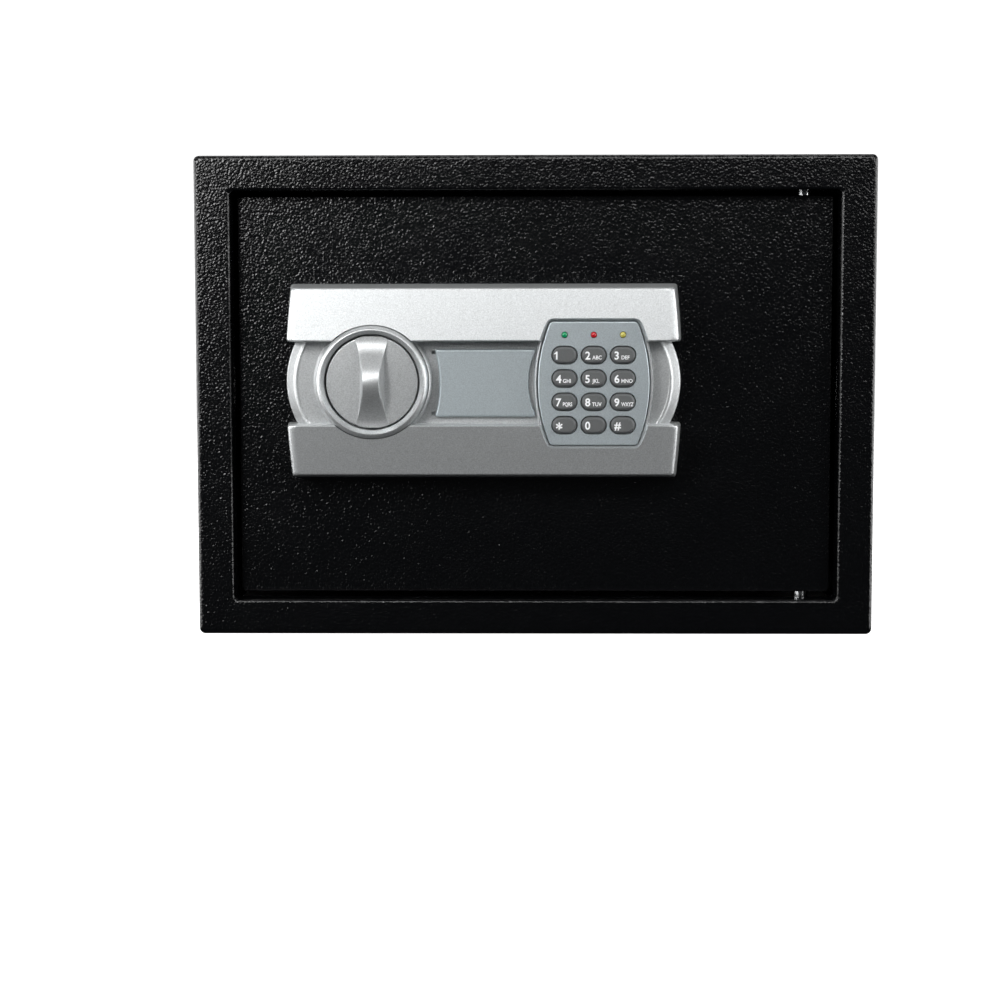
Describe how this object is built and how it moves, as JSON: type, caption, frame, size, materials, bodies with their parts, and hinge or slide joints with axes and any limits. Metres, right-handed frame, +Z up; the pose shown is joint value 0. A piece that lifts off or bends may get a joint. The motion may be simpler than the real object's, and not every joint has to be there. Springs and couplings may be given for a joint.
{
  "type": "safe",
  "caption": "Small front-opening home safe: black steel cabinet, hinged door with a silver keypad lock panel, turn knob and locking bolts.",
  "frame": {"origin": "centre of the cabinet's underside", "axes": "+X to the right seen from the front, +Y towards the back panel, +Z up; the door faces -Y"},
  "size_m": [0.35, 0.271, 0.247],
  "materials": {
    "black_coat": "textured semi-gloss black powder coat",
    "silver_paint": "metallic silver painted plastic, satin with fine flake",
    "satin_plate": "bluish silver satin paint",
    "key_grey": "mid grey moulded keys with white printed symbols",
    "zinc": "zinc plated pressed steel",
    "polished_steel": "bright turned steel",
    "brass": "satin brass",
    "copper": "varnished copper winding",
    "black_plastic": "fine textured black plastic",
    "felt": "dark grey felt",
    "circuit_board": "green solder mask",
    "silicone": "translucent white silicone",
    "battery_wrap": "shrink wrap with a plain coloured band",
    "reset_red": "red plastic",
    "led_green": "tinted clear epoxy",
    "led_red": "tinted clear epoxy",
    "led_yellow": "tinted clear epoxy"
  },
  "bodies": {
    "cabinet": {"body_wrap": "black_coat", "front_frame": "black_coat", "back_panel": "black_coat", "floor_mat": "felt", "upper_hinge_bracket": "zinc", "lower_hinge_bracket": "zinc"},
    "door": {"door_plate": "black_coat", "upper_hinge_pin": "polished_steel", "lower_hinge_pin": "polished_steel", "panel_housing": "silver_paint", "knob_bezel": "silver_paint", "keypad_plate": "satin_plate", "led_green": "led_green", "led_red": "led_red", "led_yellow": "led_yellow", "key_mat": "silicone", "circuit_board": "circuit_board", "lock_barrel": "brass", "bolt_guide_bracket": "zinc", "guide_stud_1": "zinc", "guide_stud_2": "zinc", "solenoid_frame": "zinc", "solenoid_coil": "copper", "lock_cover": "black_plastic", "cover_screw_1": "polished_steel", "cover_screw_2": "polished_steel", "cover_screw_3": "polished_steel", "cover_screw_4": "polished_steel", "battery_tray": "black_plastic", "battery_1": "battery_wrap", "battery_2": "battery_wrap", "battery_3": "battery_wrap", "battery_4": "battery_wrap"},
    "knob": {"knob": "silver_paint", "knob_shaft": "zinc"},
    "bolt_carriage": {"carriage_plate": "zinc", "upper_bolt": "polished_steel", "lower_bolt": "polished_steel"},
    "solenoid_plunger": {"solenoid_plunger": "polished_steel"},
    "key_cover": {"key_cover": "satin_plate"},
    "key_plug": {"key_plug": "polished_steel"},
    "battery_cover": {"battery_cover": "black_plastic"},
    "reset_button": {"reset_button": "reset_red"},
    "key_1": {"key_1": "key_grey"},
    "key_2": {"key_2": "key_grey"},
    "key_3": {"key_3": "key_grey"},
    "key_4": {"key_4": "key_grey"},
    "key_5": {"key_5": "key_grey"},
    "key_6": {"key_6": "key_grey"},
    "key_7": {"key_7": "key_grey"},
    "key_8": {"key_8": "key_grey"},
    "key_9": {"key_9": "key_grey"},
    "key_star": {"key_star": "key_grey"},
    "key_0": {"key_0": "key_grey"},
    "key_hash": {"key_hash": "key_grey"}
  },
  "joints": [
    {"name": "door_hinge", "type": "hinge", "parent": "cabinet", "child": "door", "pos_m": [0.14, -0.1047, 0.124], "axis": [0, 0, 1], "range_deg": [0, 90]},
    {"name": "knob_turn", "type": "hinge", "parent": "door", "child": "knob", "pos_m": [-0.083, -0.113, 0.1315], "axis": [0, -1, 0], "range_deg": [0, 90]},
    {"name": "bolt_throw", "type": "slide", "parent": "door", "child": "bolt_carriage", "axis": [-1, 0, 0], "range_m": [0, 0.014]},
    {"name": "plunger_drop", "type": "slide", "parent": "door", "child": "solenoid_plunger", "axis": [0, 0, -1], "range_m": [0, 0.0045]},
    {"name": "key_cover_pull", "type": "slide", "parent": "door", "child": "key_cover", "axis": [0, -1, 0], "range_m": [0, 0.03]},
    {"name": "key_turn", "type": "hinge", "parent": "door", "child": "key_plug", "pos_m": [-0.0265, -0.113, 0.1315], "axis": [0, 1, 0], "range_deg": [0, 90]},
    {"name": "battery_cover_pull", "type": "slide", "parent": "door", "child": "battery_cover", "axis": [0, 1, 0], "range_m": [0, 0.03]},
    {"name": "reset_press", "type": "slide", "parent": "door", "child": "reset_button", "axis": [0, -1, 0], "range_m": [0, 0.0015], "stiffness_N_per_m": 400},
    {"name": "key_1_press", "type": "slide", "parent": "door", "child": "key_1", "axis": [0, 1, 0], "range_m": [0, 0.001], "stiffness_N_per_m": 600},
    {"name": "key_2_press", "type": "slide", "parent": "door", "child": "key_2", "axis": [0, 1, 0], "range_m": [0, 0.001], "stiffness_N_per_m": 600},
    {"name": "key_3_press", "type": "slide", "parent": "door", "child": "key_3", "axis": [0, 1, 0], "range_m": [0, 0.001], "stiffness_N_per_m": 600},
    {"name": "key_4_press", "type": "slide", "parent": "door", "child": "key_4", "axis": [0, 1, 0], "range_m": [0, 0.001], "stiffness_N_per_m": 600},
    {"name": "key_5_press", "type": "slide", "parent": "door", "child": "key_5", "axis": [0, 1, 0], "range_m": [0, 0.001], "stiffness_N_per_m": 600},
    {"name": "key_6_press", "type": "slide", "parent": "door", "child": "key_6", "axis": [0, 1, 0], "range_m": [0, 0.001], "stiffness_N_per_m": 600},
    {"name": "key_7_press", "type": "slide", "parent": "door", "child": "key_7", "axis": [0, 1, 0], "range_m": [0, 0.001], "stiffness_N_per_m": 600},
    {"name": "key_8_press", "type": "slide", "parent": "door", "child": "key_8", "axis": [0, 1, 0], "range_m": [0, 0.001], "stiffness_N_per_m": 600},
    {"name": "key_9_press", "type": "slide", "parent": "door", "child": "key_9", "axis": [0, 1, 0], "range_m": [0, 0.001], "stiffness_N_per_m": 600},
    {"name": "key_star_press", "type": "slide", "parent": "door", "child": "key_star", "axis": [0, 1, 0], "range_m": [0, 0.001], "stiffness_N_per_m": 600},
    {"name": "key_0_press", "type": "slide", "parent": "door", "child": "key_0", "axis": [0, 1, 0], "range_m": [0, 0.001], "stiffness_N_per_m": 600},
    {"name": "key_hash_press", "type": "slide", "parent": "door", "child": "key_hash", "axis": [0, 1, 0], "range_m": [0, 0.001], "stiffness_N_per_m": 600}
  ],
  "couplings": [
    {"joint": "knob_turn", "follows": "bolt_throw", "rad_per_m": 112.19}
  ]
}
